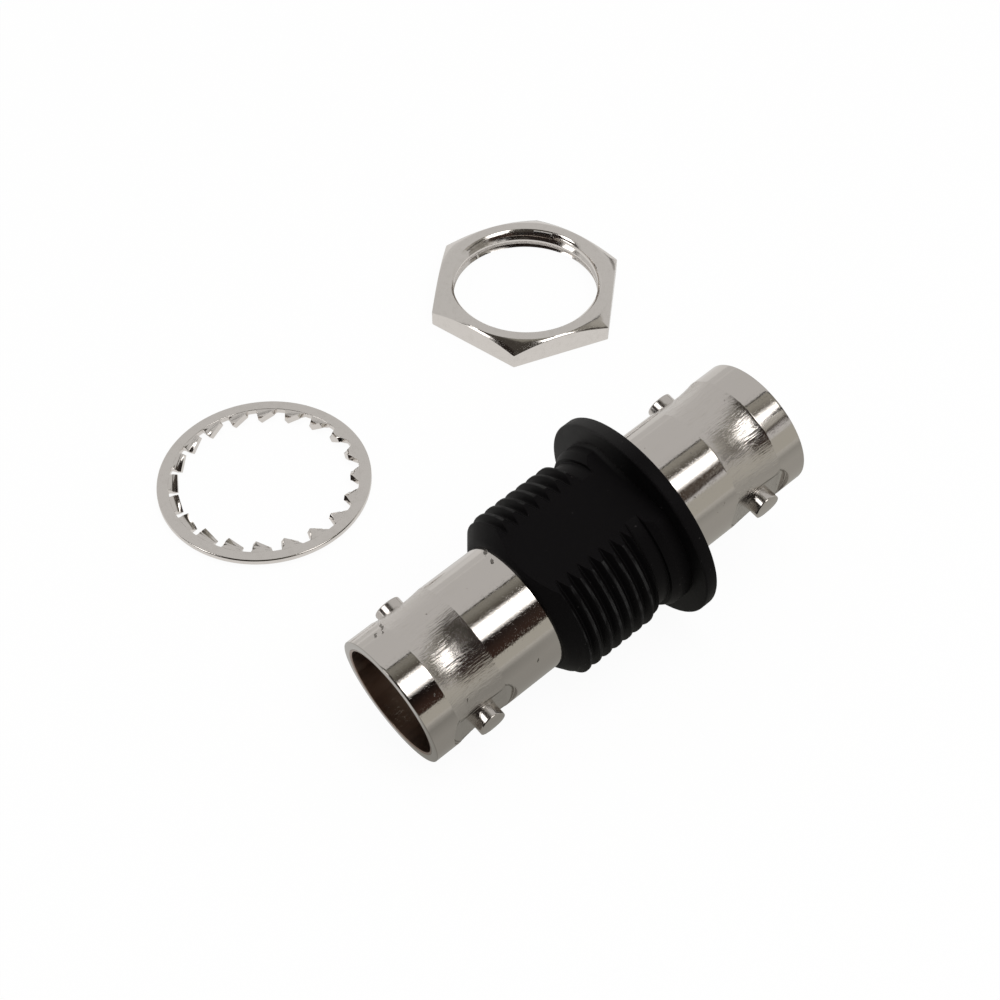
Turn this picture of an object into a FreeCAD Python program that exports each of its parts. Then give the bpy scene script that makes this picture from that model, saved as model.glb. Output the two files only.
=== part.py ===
import FreeCAD, Part
import math
import os

from FreeCAD import Vector

# Insulated coaxial bulkhead adapter, bayonet jack at both ends, with its hex nut and lock washer taken off.
# The adapter lies on a table on its front rim and its flange. Nut and washer lie flat behind it.
# Adapter pieces are drawn along +X from the near mating face, then laid down. All sizes in millimetres.

# Bayonet interface, the same at both ends
TOTAL_LENGTH = 32.7
BARREL_D = 9.65
BARREL_REAR_D = 9.56
MILLED_D = 9.50
MOUTH_D = 8.13
MOUTH_DEPTH = 5.2
LUG_D = 2.0
LUG_ACROSS = 11.0
LUG_FROM_FACE = 4.1
MILLED_WIDTH = 3.9
SPOT_FACE_D = 5.3
SPOT_FACE_HEIGHT = 4.49

# Insulating bushing with thread, panel register and flange
BUSHING_FROM_FACE = 10.7
BUSHING_NOSE_D = 10.0
THREAD_D = 12.6
THREAD_PITCH = 0.907
THREAD_DEPTH = 0.53
FIRST_GROOVE = 1.3
GROOVES = 7
NECK_D = 11.54
NECK_FROM_NOSE = 7.45
REGISTER_D = 12.7
REGISTER_LENGTH = 1.5
REGISTER_CHAMFER = 0.5
FLANGE_D = 15.6
FLANGE_FROM_NOSE = 10.0
FLANGE_THICK = 1.0
FLANGE_CHAMFER = 0.18
FLAT_HEIGHT = 5.4
FLAT_TURN = 8.5

# Joint of the two shells inside the bushing
SEAT_DEPTH = 1.5
FAR_SEAT_DEPTH = 1.2
WAIST_D = 8.6
SPIGOT_D = 7.8
SPIGOT_BORE = 6.4
SHOULDER_X = 15.0
WEB_BORE = 4.84
CAVITY_HALF = 2.15

# Insulators and centre contact
INSULATOR_D = 4.76
INSULATOR_RECESS = 3.3
CONTACT_D = 2.1
CONTACT_COLLAR_D = 3.2
CONTACT_COLLAR_HALF = 0.77
CONTACT_BEHIND = 0.3
SOCKET_D = 1.36
SOCKET_DEPTH = 5.0
SLIDE_FIT = 0.02
CONTACT_FIT = 0.03

# Hex nut
NUT_ACROSS_FLATS = 14.3
NUT_THICK = 2.0
NUT_TOP_D = 13.6
NUT_CHAMFER_ANGLE = 30.0
NUT_BORE_D = 11.8
NUT_GROOVE_D = 12.75
NUT_GROOVES = 2
NUT_GROOVE_WIDTH = 0.48
NUT_BORE_CHAMFER = 0.15
NUT_ALONG = 34.8
NUT_BEHIND = 27.8
NUT_TURN = 43.5

# Internal tooth lock washer
WASHER_D = 16.0
WASHER_RING_WIDTH = 0.87
WASHER_THICK = 0.45
TEETH = 20
TOOTH_TIP_D = 12.86
TOOTH_ROOT_WIDTH = 1.5
TOOTH_TIP_WIDTH = 1.35
TOOTH_TWIST = 38.0
TOOTH_STUB = 0.08
WASHER_ALONG = 6.5
WASHER_BEHIND = 24.4

X_AXIS = Vector(1, 0, 0)
Y_AXIS = Vector(0, 1, 0)
Z_AXIS = Vector(0, 0, 1)
MIDDLE = TOTAL_LENGTH / 2


def spun(outline, axis=X_AXIS):
    """Solid of a closed outline of (along, radius) points turned about the axis."""
    if axis == X_AXIS:
        corners = [Vector(along, 0, radius) for along, radius in outline]
    else:
        corners = [Vector(radius, 0, along) for along, radius in outline]
    face = Part.Face(Part.makePolygon(corners + corners[:1]))
    return face.revolve(Vector(), axis, 360)


def rod(diameter, start, end):
    """Round rod along the adapter's axis."""
    return Part.makeCylinder(diameter / 2, end - start, Vector(start, 0, 0), X_AXIS)


def facing(degrees):
    """Direction square to the axis, turned from straight up towards the front of the adapter."""
    turn = math.radians(degrees)
    return Vector(0, -math.sin(turn), math.cos(turn))


# Jack shells


def jack_outline(tail):
    """Half section of a shell from its mating face inwards, ended by the tail's own points."""
    band_start = LUG_FROM_FACE - MILLED_WIDTH / 2
    band_end = LUG_FROM_FACE + MILLED_WIDTH / 2
    front = [(0, MOUTH_D / 2), (0, BARREL_D / 2), (band_start, BARREL_D / 2), (band_start, MILLED_D / 2)]
    front += [(band_end, MILLED_D / 2), (band_end, BARREL_REAR_D / 2)]
    return front + tail + [(MOUTH_DEPTH, WEB_BORE / 2), (MOUTH_DEPTH, MOUTH_D / 2)]


def with_lugs(shell, turn):
    """Shell with two bayonet lugs, each left standing in a milled spot face."""
    for degrees in (turn, turn + 180):
        out = facing(degrees)
        centre = Vector(LUG_FROM_FACE, 0, 0)
        pocket = Part.makeCylinder(SPOT_FACE_D / 2, LUG_ACROSS, centre + out * SPOT_FACE_HEIGHT, out)
        shell = shell.cut(pocket)
        lug = Part.makeCylinder(LUG_D / 2, LUG_ACROSS, centre + out * (SPOT_FACE_HEIGHT - 0.2), out)
        shell = shell.fuse(lug.common(rod(LUG_ACROSS, 0, 2 * LUG_FROM_FACE)))
    return shell


def near_shell():
    """Front shell with the spigot that the far shell is pressed on."""
    seat = BUSHING_FROM_FACE + SEAT_DEPTH
    cavity = MIDDLE - CAVITY_HALF
    spigot_end = MIDDLE + CAVITY_HALF - 2 * SLIDE_FIT
    tail = [(seat, BARREL_REAR_D / 2), (seat, WAIST_D / 2)]
    tail += [(SHOULDER_X, WAIST_D / 2), (SHOULDER_X, SPIGOT_D / 2)]
    tail += [(spigot_end, SPIGOT_D / 2), (spigot_end, SPIGOT_BORE / 2)]
    tail += [(cavity, SPIGOT_BORE / 2), (cavity, WEB_BORE / 2)]
    return with_lugs(spun(jack_outline(tail)), FLAT_TURN + 90)


def far_shell():
    """Rear shell with the skirt that closes over the spigot, turned end for end."""
    flange_back = BUSHING_FROM_FACE + FLANGE_FROM_NOSE + FLANGE_THICK
    seat = TOTAL_LENGTH - flange_back + FAR_SEAT_DEPTH
    skirt_end = TOTAL_LENGTH - SHOULDER_X
    cavity = MIDDLE - CAVITY_HALF
    skirt_bore = SPIGOT_D / 2 + SLIDE_FIT
    tail = [(seat, BARREL_REAR_D / 2), (seat, WAIST_D / 2)]
    tail += [(skirt_end, WAIST_D / 2), (skirt_end, skirt_bore)]
    tail += [(cavity, skirt_bore), (cavity, WEB_BORE / 2)]
    shell = with_lugs(spun(jack_outline(tail)), -FLAT_TURN - 90)
    shell.rotate(Vector(), Z_AXIS, 180)
    shell.translate(Vector(TOTAL_LENGTH, 0, 0))
    return shell


# Insulating bushing


def thread_outline(nose):
    """V grooves of the thread from the nose to the neck, as (along, radius) points."""
    crest = THREAD_D / 2
    first_crest = nose + FIRST_GROOVE - THREAD_PITCH / 2
    points = [(first_crest, crest)]
    for turn in range(GROOVES):
        start = first_crest + turn * THREAD_PITCH
        points += [(start + THREAD_PITCH / 2, crest - THREAD_DEPTH), (start + THREAD_PITCH, crest)]
    return points


def bushing():
    """Black bushing: chamfered nose, thread, neck, panel register and flange, with one flat along it."""
    nose = BUSHING_FROM_FACE
    neck = nose + NECK_FROM_NOSE
    face = nose + FLANGE_FROM_NOSE
    back = face + FLANGE_THICK
    register = face - REGISTER_LENGTH
    seat_bore = BARREL_REAR_D / 2 + SLIDE_FIT
    waist_bore = WAIST_D / 2 + SLIDE_FIT
    outline = [(nose, seat_bore), (nose, BUSHING_NOSE_D / 2)]
    outline += thread_outline(nose)
    outline += [(neck, NECK_D / 2), (register, NECK_D / 2)]
    outline += [(register, REGISTER_D / 2 - 0.3), (register + REGISTER_CHAMFER, REGISTER_D / 2)]
    outline += [(face, REGISTER_D / 2), (face, FLANGE_D / 2 - FLANGE_CHAMFER)]
    outline += [(face + FLANGE_CHAMFER, FLANGE_D / 2), (back - FLANGE_CHAMFER, FLANGE_D / 2)]
    outline += [(back, FLANGE_D / 2 - FLANGE_CHAMFER), (back, seat_bore), (back - FAR_SEAT_DEPTH, seat_bore)]
    outline += [(back - FAR_SEAT_DEPTH, waist_bore), (nose + SEAT_DEPTH, waist_bore)]
    outline += [(nose + SEAT_DEPTH, seat_bore)]
    block = Part.makeBox(FLANGE_FROM_NOSE, THREAD_D * 2, THREAD_D, Vector(nose, -THREAD_D, FLAT_HEIGHT))
    block.rotate(Vector(), X_AXIS, FLAT_TURN)
    return spun(outline).cut(block)


# Insulators and contact


def near_insulator():
    """Insulator sleeve of the front jack, with the collar that the shells clamp."""
    sleeve = INSULATOR_D / 2
    bore = CONTACT_D / 2 + CONTACT_FIT
    pocket = CONTACT_COLLAR_D / 2 + CONTACT_FIT
    cavity = MIDDLE - CAVITY_HALF
    collar_room = MIDDLE - CONTACT_COLLAR_HALF - CONTACT_FIT
    outline = [(INSULATOR_RECESS, bore), (INSULATOR_RECESS, sleeve), (cavity, sleeve)]
    outline += [(cavity, SPIGOT_BORE / 2 - SLIDE_FIT), (MIDDLE, SPIGOT_BORE / 2 - SLIDE_FIT)]
    outline += [(MIDDLE, pocket), (collar_room, pocket), (collar_room, bore)]
    return spun(outline)


def far_insulator():
    """The same sleeve turned end for end for the rear jack."""
    sleeve = near_insulator()
    sleeve.rotate(Vector(MIDDLE, 0, 0), Z_AXIS, 180)
    return sleeve


def centre_contact():
    """Contact with a round socket at both ends and a collar in the middle."""
    start = INSULATOR_RECESS + CONTACT_BEHIND
    end = TOTAL_LENGTH - start
    body = rod(CONTACT_D, start, end)
    body = body.fuse(rod(CONTACT_COLLAR_D, MIDDLE - CONTACT_COLLAR_HALF, MIDDLE + CONTACT_COLLAR_HALF))
    body = body.cut(rod(SOCKET_D, start, start + SOCKET_DEPTH))
    return body.cut(rod(SOCKET_D, end - SOCKET_DEPTH, end))


# Hardware taken off


def hex_nut():
    """Thin hex nut lying on its flat side, chamfered on top, with two thread grooves in the bore."""
    corner = NUT_ACROSS_FLATS / math.sqrt(3)
    spots = []
    for side in range(6):
        angle = math.radians(60 * side)
        spots.append(Vector(corner * math.cos(angle), corner * math.sin(angle), 0))
    prism = Part.Face(Part.makePolygon(spots + spots[:1])).extrude(Vector(0, 0, NUT_THICK))
    drop = (corner - NUT_TOP_D / 2) * math.tan(math.radians(NUT_CHAMFER_ANGLE))
    crown = [(0, 0), (0, corner), (NUT_THICK - drop, corner), (NUT_THICK, NUT_TOP_D / 2), (NUT_THICK, 0)]
    nut = prism.common(spun(crown, Z_AXIS))
    wall = NUT_BORE_D / 2
    groove = NUT_GROOVE_D / 2
    mouth = wall + NUT_BORE_CHAMFER
    bore = [(-1, 0), (-1, mouth), (0, mouth), (NUT_BORE_CHAMFER, wall)]
    for turn in range(NUT_GROOVES):
        middle = NUT_THICK / 2 + (turn - 0.5 * (NUT_GROOVES - 1)) * THREAD_PITCH
        bore += [(middle - NUT_GROOVE_WIDTH / 2, wall), (middle, groove), (middle + NUT_GROOVE_WIDTH / 2, wall)]
    top = NUT_THICK + 1
    bore += [(NUT_THICK - NUT_BORE_CHAMFER, wall), (NUT_THICK, mouth), (top, mouth), (top, 0)]
    nut = nut.cut(spun(bore, Z_AXIS))
    nut.rotate(Vector(), Z_AXIS, NUT_TURN)
    nut.translate(Vector(NUT_ALONG, NUT_BEHIND, 0))
    return nut


def tooth_section(radius, width, twist):
    """Corners of a washer tooth's cross section at a radius, its left side raised as seen from the ring."""
    turn = -math.radians(twist)
    corners = []
    for side, face in ((-1, -1), (1, -1), (1, 1), (-1, 1)):
        across = side * width / 2
        up = face * WASHER_THICK / 2
        y = across * math.cos(turn) - up * math.sin(turn)
        z = across * math.sin(turn) + up * math.cos(turn)
        corners.append(Vector(radius, y, z))
    return corners


def twisted_block(root, tip):
    """Solid between two four-cornered sections, each side folded along its diagonal."""
    faces = [Part.Face(Part.makePolygon(root + root[:1])), Part.Face(Part.makePolygon(tip + tip[:1]))]
    for corner in range(4):
        a, b = root[corner - 1], root[corner]
        c, d = tip[corner], tip[corner - 1]
        faces.append(Part.Face(Part.makePolygon([a, b, c, a])))
        faces.append(Part.Face(Part.makePolygon([a, c, d, a])))
    return Part.Solid(Part.Shell(faces))


def lock_washer():
    """Thin ring with twisted teeth inside, lying on the lower corners of the teeth."""
    ring_inner = WASHER_D / 2 - WASHER_RING_WIDTH
    half_thick = WASHER_THICK / 2
    band = [(-half_thick, ring_inner), (-half_thick, WASHER_D / 2), (half_thick, WASHER_D / 2), (half_thick, ring_inner)]
    washer = spun(band, Z_AXIS)
    root = tooth_section(ring_inner - TOOTH_STUB, TOOTH_ROOT_WIDTH, 0)
    tip = tooth_section(TOOTH_TIP_D / 2, TOOTH_TIP_WIDTH, TOOTH_TWIST)
    stub = Part.Face(Part.makePolygon(root + root[:1])).extrude(Vector(WASHER_RING_WIDTH / 2, 0, 0))
    tooth = twisted_block(root, tip).fuse(stub)
    teeth = []
    for number in range(TEETH):
        turned = tooth.copy()
        turned.rotate(Vector(), Z_AXIS, 360 * number / TEETH)
        teeth.append(turned)
    washer = washer.multiFuse(teeth)
    washer.translate(Vector(WASHER_ALONG, WASHER_BEHIND, -washer.optimalBoundingBox().ZMin))
    return washer


# Assembly


def laid_down(shape):
    """Adapter piece turned so that the front rim and the flange both touch the table."""
    flange_along = BUSHING_FROM_FACE + FLANGE_FROM_NOSE + FLANGE_CHAMFER
    tilt = math.atan2((FLANGE_D - BARREL_D) / 2, flange_along)
    height = BARREL_D / 2 * math.cos(tilt)
    shape.rotate(Vector(), Y_AXIS, -math.degrees(tilt))
    shape.translate(Vector(0, 0, height))
    return shape


def build():
    """All pieces by name, with the origin under the middle of the whole set."""
    pieces = {
        "near_shell": laid_down(near_shell()),
        "far_shell": laid_down(far_shell()),
        "insulating_bushing": laid_down(bushing()),
        "near_insulator": laid_down(near_insulator()),
        "far_insulator": laid_down(far_insulator()),
        "centre_contact": laid_down(centre_contact()),
        "hex_nut": hex_nut(),
        "lock_washer": lock_washer(),
    }
    box = Part.makeCompound(list(pieces.values())).optimalBoundingBox()
    shift = Vector(-box.Center.x, -box.Center.y, -box.ZMin)
    for piece in pieces.values():
        piece.translate(shift)
    return pieces


os.makedirs("parts", exist_ok=True)
for name, piece in build().items():
    piece.exportStep(f"parts/{name}.step")
    box = piece.optimalBoundingBox()
    print(name, piece.isValid(), len(piece.Solids), round(piece.Volume, 2), "mm3", box)
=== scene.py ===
"""Looks of an insulated bayonet coaxial bulkhead adapter, with its hex nut and lock washer taken off.

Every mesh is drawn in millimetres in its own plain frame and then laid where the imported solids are.
Adapter pieces are drawn along +X from a mating face; an angle of 0 is up and grows towards the front.
"""

import logging
import math
from dataclasses import dataclass, field
from enum import Enum
from typing import Any, Callable

import bmesh
import bpy
import numpy as np
from mathutils import Matrix, Vector

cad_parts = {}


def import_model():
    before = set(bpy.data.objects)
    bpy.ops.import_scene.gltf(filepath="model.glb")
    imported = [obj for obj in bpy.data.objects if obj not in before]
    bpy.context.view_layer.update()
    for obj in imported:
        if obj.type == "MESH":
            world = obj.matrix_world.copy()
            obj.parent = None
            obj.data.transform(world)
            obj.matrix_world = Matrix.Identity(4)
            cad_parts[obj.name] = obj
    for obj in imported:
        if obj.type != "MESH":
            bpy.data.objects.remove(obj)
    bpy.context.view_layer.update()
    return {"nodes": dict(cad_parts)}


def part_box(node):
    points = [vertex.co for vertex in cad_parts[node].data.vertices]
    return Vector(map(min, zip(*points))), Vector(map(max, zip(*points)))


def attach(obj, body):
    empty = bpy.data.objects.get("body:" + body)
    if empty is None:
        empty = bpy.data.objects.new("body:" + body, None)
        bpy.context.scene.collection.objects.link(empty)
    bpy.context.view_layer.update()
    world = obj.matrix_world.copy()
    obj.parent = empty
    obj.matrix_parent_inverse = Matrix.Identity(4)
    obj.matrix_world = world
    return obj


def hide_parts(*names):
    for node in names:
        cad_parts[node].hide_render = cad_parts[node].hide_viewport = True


LOG = logging.getLogger("adapter")
MM = 0.001
Row = list[tuple[float, float]]
Point = tuple[float, float, float]
Colour = tuple[float, float, float]
Link = bpy.types.NodeSocket


# Nicks in the near barrel: place from the mating face, angle in degrees and size
NEAR_NICKS = (
    (1.3, -26, 0.20),
    (1.75, -23, 0.15),
    (2.0, -29, 0.19),
    (2.08, -34, 0.17),
    (10.2, -13, 0.19),
    (10.5, -28, 0.26),
    (3.3, 67, 0.10),
    (8.75, 79, 0.11),
    (1.6, 45, 0.07),
)


# Places


class End(Enum):
    """The two jacks of the adapter."""

    NEAR = "near_shell"
    FAR = "far_shell"


@dataclass(frozen=True)
class Lay:
    """How the adapter lies: on its near rim and its flange, so its axis rises away from the near face."""

    near_face: Point
    rise_degrees: float
    length: float = 32.7

    @classmethod
    def found(cls, rise_degrees: float = 8.109, barrel: float = 9.65) -> "Lay":
        """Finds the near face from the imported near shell, whose rim touches the table.

        Args:
            rise_degrees: how far the axis rises towards the far face.
            barrel: diameter of the barrel.

        Returns:
            The adapter's place.
        """
        low, high = (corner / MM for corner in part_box(End.NEAR.value))
        rise = math.radians(rise_degrees)
        reach = barrel / 2
        spot = (low.x + reach * math.sin(rise), (low.y + high.y) / 2, reach * math.cos(rise))
        return cls(spot, rise_degrees)

    def matrix(self) -> Matrix:
        """Matrix from the adapter's own frame in millimetres to the row frame in metres."""
        turn = Matrix.Rotation(math.radians(-self.rise_degrees), 4, "Y")
        return Matrix.Scale(MM, 4) @ Matrix.Translation(self.near_face) @ turn

    def turned_round(self) -> Matrix:
        """The same for a piece drawn from the far face."""
        swing = Matrix.Translation((self.length, 0, 0)) @ Matrix.Rotation(math.pi, 4, "Z")
        return self.matrix() @ swing

    def aim(self, around_degrees: float, along_degrees: float) -> Vector:
        """Direction given by its angle round the axis and its lean along the axis.

        Args:
            around_degrees: angle from up towards the front.
            along_degrees: lean towards the far face.

        Returns:
            Unit vector in the row frame.
        """
        around = math.radians(around_degrees)
        along = math.radians(along_degrees)
        level = math.cos(along)
        own = Vector((math.sin(along), -math.sin(around) * level, math.cos(around) * level))
        return (self.matrix().to_3x3() @ own).normalized()


def middle(node: str) -> Vector:
    """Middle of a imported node's box, on the table.

    Args:
        node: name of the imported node.

    Returns:
        The place in millimetres.
    """
    low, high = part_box(node)
    spot = (low + high) / 2 / MM
    return Vector((spot.x, spot.y, 0))


# Mesh making


def along_axis(along: np.ndarray, out: np.ndarray, angles: np.ndarray) -> np.ndarray:
    """Points of an adapter piece, from their place along the axis, distance from it and angle round it."""
    return np.stack([along + 0 * angles, -out * np.sin(angles), out * np.cos(angles)], axis=-1)


def upright(height: np.ndarray, out: np.ndarray, angles: np.ndarray) -> np.ndarray:
    """Points of a flat-lying piece, from their height, distance from its middle and angle round it."""
    return np.stack([out * np.cos(angles), out * np.sin(angles), height + 0 * angles], axis=-1)


def added(name: str, data: Any) -> bpy.types.Object:
    """Adds an object to the scene.

    Args:
        name: name of the object.
        data: its mesh, camera or lamp.

    Returns:
        The new object at the origin.
    """
    made = bpy.data.objects.new(name, data)
    bpy.context.scene.collection.objects.link(made)
    return made


def flat_sheet(name: str, corners: list[Any]) -> bpy.types.Object:
    """Adds a sheet with four corners, in metres."""
    mesh = bpy.data.meshes.new(name)
    mesh.from_pydata([tuple(corner) for corner in corners], [], [(0, 1, 2, 3)])
    return added(name, mesh)


def eased(corners: list[Point], steps: int = 4) -> Row:
    """Outline with its corners rounded.

    Args:
        corners: (along, out, radius) of each corner; a radius of 0 keeps it sharp.
        steps: segments in a rounded corner.

    Returns:
        Points (along, out) of the open outline.
    """
    points: Row = []
    for index, (along, out, radius) in enumerate(corners):
        if radius <= 0 or index in (0, len(corners) - 1):
            points.append((along, out))
            continue
        here = np.array((along, out))
        before = np.array(corners[index - 1][:2]) - here
        after = np.array(corners[index + 1][:2]) - here
        before = before / np.linalg.norm(before)
        after = after / np.linalg.norm(after)
        half = math.acos(max(-1.0, min(1.0, float(before @ after)))) / 2
        if math.pi / 2 - half < 0.01:
            points.append((along, out))
            continue
        reach = radius / math.tan(half)
        centre = here + (before + after) / np.linalg.norm(before + after) * radius / math.sin(half)
        start = here + before * reach - centre
        sweep = math.pi - 2 * half
        sign = 1.0 if before[0] * after[1] - before[1] * after[0] < 0 else -1.0
        for step in range(steps + 1):
            turn = sign * sweep * step / steps
            cos, sin = math.cos(turn), math.sin(turn)
            spot = centre + np.array((start[0] * cos - start[1] * sin, start[0] * sin + start[1] * cos))
            points.append((float(spot[0]), float(spot[1])))
    return points


class Draft:
    """Mesh under construction, in millimetres in its own frame."""

    def __init__(self) -> None:
        """Starts an empty mesh."""
        self.points: list[np.ndarray] = []
        self.faces: list[tuple[int, ...]] = []
        self.count = 0

    def sheet(self, grid: np.ndarray, ring_rows: bool = False, ring_columns: bool = False) -> None:
        """Adds a sheet of four-sided faces.

        Args:
            grid: points by row and column.
            ring_rows: joins the last row to the first.
            ring_columns: joins the last column to the first.
        """
        rows, columns = grid.shape[:2]
        base = self.count
        self.points.append(grid.reshape(-1, 3))
        self.count += rows * columns
        for row in range(rows if ring_rows else rows - 1):
            below = (row + 1) % rows
            for column in range(columns if ring_columns else columns - 1):
                right = (column + 1) % columns
                self.faces.append(
                    (
                        base + row * columns + column,
                        base + below * columns + column,
                        base + below * columns + right,
                        base + row * columns + right,
                    )
                )

    def turned(self, outline: Row, columns: int = 240) -> None:
        """Adds a closed outline turned about the X axis.

        Args:
            outline: points (along, out).
            columns: steps round the axis.
        """
        angles = np.linspace(0, 2 * math.pi, columns, endpoint=False)
        along, out = np.array(outline).T[:, :, None]
        self.sheet(along_axis(along, out, angles), ring_rows=True, ring_columns=True)

    def fan(self, ring: np.ndarray) -> None:
        """Adds a flat face.

        Args:
            ring: its corners in order.
        """
        base = self.count
        self.points.append(ring)
        self.count += len(ring)
        self.faces.append(tuple(range(base, base + len(ring))))

    def piece(
        self,
        name: str,
        place: Matrix,
        sharp_degrees: float = 35.0,
        weld: float = 1e-4,
        trim: Callable[[bmesh.types.BMesh], None] | None = None,
    ) -> bpy.types.Object:
        """Makes the object, with each point's own place kept in the attribute own_mm.

        Args:
            name: name of the object.
            place: matrix from the mesh's own frame to the row frame.
            sharp_degrees: edges that turn more than this stay sharp.
            weld: points nearer than this become one.
            trim: a last change to the mesh in its own frame.

        Returns:
            The new object at the origin, its place in its mesh.
        """
        mesh = bpy.data.meshes.new(name)
        mesh.from_pydata(np.concatenate(self.points).tolist(), [], self.faces)
        work = bmesh.new()
        work.from_mesh(mesh)
        bmesh.ops.remove_doubles(work, verts=work.verts, dist=weld)
        bmesh.ops.dissolve_degenerate(work, dist=weld / 2, edges=work.edges)
        if trim:
            trim(work)
        bmesh.ops.recalc_face_normals(work, faces=work.faces)
        work.to_mesh(mesh)
        work.free()
        spots = np.zeros(len(mesh.vertices) * 3, np.float32)
        mesh.vertices.foreach_get("co", spots)
        own = mesh.attributes.new("own_mm", "FLOAT_VECTOR", "POINT")
        own.data.foreach_set("vector", spots)
        mesh.transform(place)
        mesh.shade_smooth()
        mesh.set_sharp_from_angle(angle=math.radians(sharp_degrees))
        made = added(name, mesh)
        even = made.modifiers.new("even_normals", "WEIGHTED_NORMAL")
        even.keep_sharp = True
        even.weight = 50
        return made


def settle(made: bpy.types.Object, node: str, finish: bpy.types.Material) -> None:
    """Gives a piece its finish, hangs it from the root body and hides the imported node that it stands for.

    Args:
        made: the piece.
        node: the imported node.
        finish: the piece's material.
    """
    made.data.materials.append(finish)
    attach(made, "root")
    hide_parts(node)
    LOG.info("%s stands for %s with %d faces", made.name, node, len(made.data.polygons))


# Shader writing


class Value:
    """A number in a shader, used in expressions like a plain number."""

    def __init__(self, graph: "Graph", socket: Link) -> None:
        """Wraps an output socket of a graph."""
        self.graph = graph
        self.socket = socket

    def __add__(self, other: "Value | float") -> "Value":
        """Sum."""
        return self.graph.math("ADD", self, other)

    __radd__ = __add__

    def __sub__(self, other: "Value | float") -> "Value":
        """Difference."""
        return self.graph.math("SUBTRACT", self, other)

    def __rsub__(self, other: "Value | float") -> "Value":
        """Difference with the plain number first."""
        return self.graph.math("SUBTRACT", other, self)

    def __mul__(self, other: "Value | float") -> "Value":
        """Product."""
        return self.graph.math("MULTIPLY", self, other)

    __rmul__ = __mul__

    def __truediv__(self, other: "Value | float") -> "Value":
        """Quotient."""
        return self.graph.math("DIVIDE", self, other)

    def __rtruediv__(self, other: "Value | float") -> "Value":
        """Quotient with the plain number first."""
        return self.graph.math("DIVIDE", other, self)

    def __pow__(self, other: "Value | float") -> "Value":
        """Power."""
        return self.graph.math("POWER", self, other)

    def __abs__(self) -> "Value":
        """Size without sign."""
        return self.graph.math("ABSOLUTE", self)

    def ramp(self, low: float, high: float) -> "Value":
        """Smooth rise from 0 at low to 1 at high; it falls where low is the larger."""
        made = self.graph.node(
            "ShaderNodeMapRange",
            {"interpolation_type": "SMOOTHSTEP", "clamp": True},
            {"Value": self, "From Min": low, "From Max": high},
        )
        return Value(self.graph, made.outputs[0])

    def within(self, low: float, high: float, soft: float) -> "Value":
        """1 between low and high and 0 outside, with soft edges."""
        return self.ramp(low - soft, low + soft) * self.ramp(high + soft, high - soft)


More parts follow.
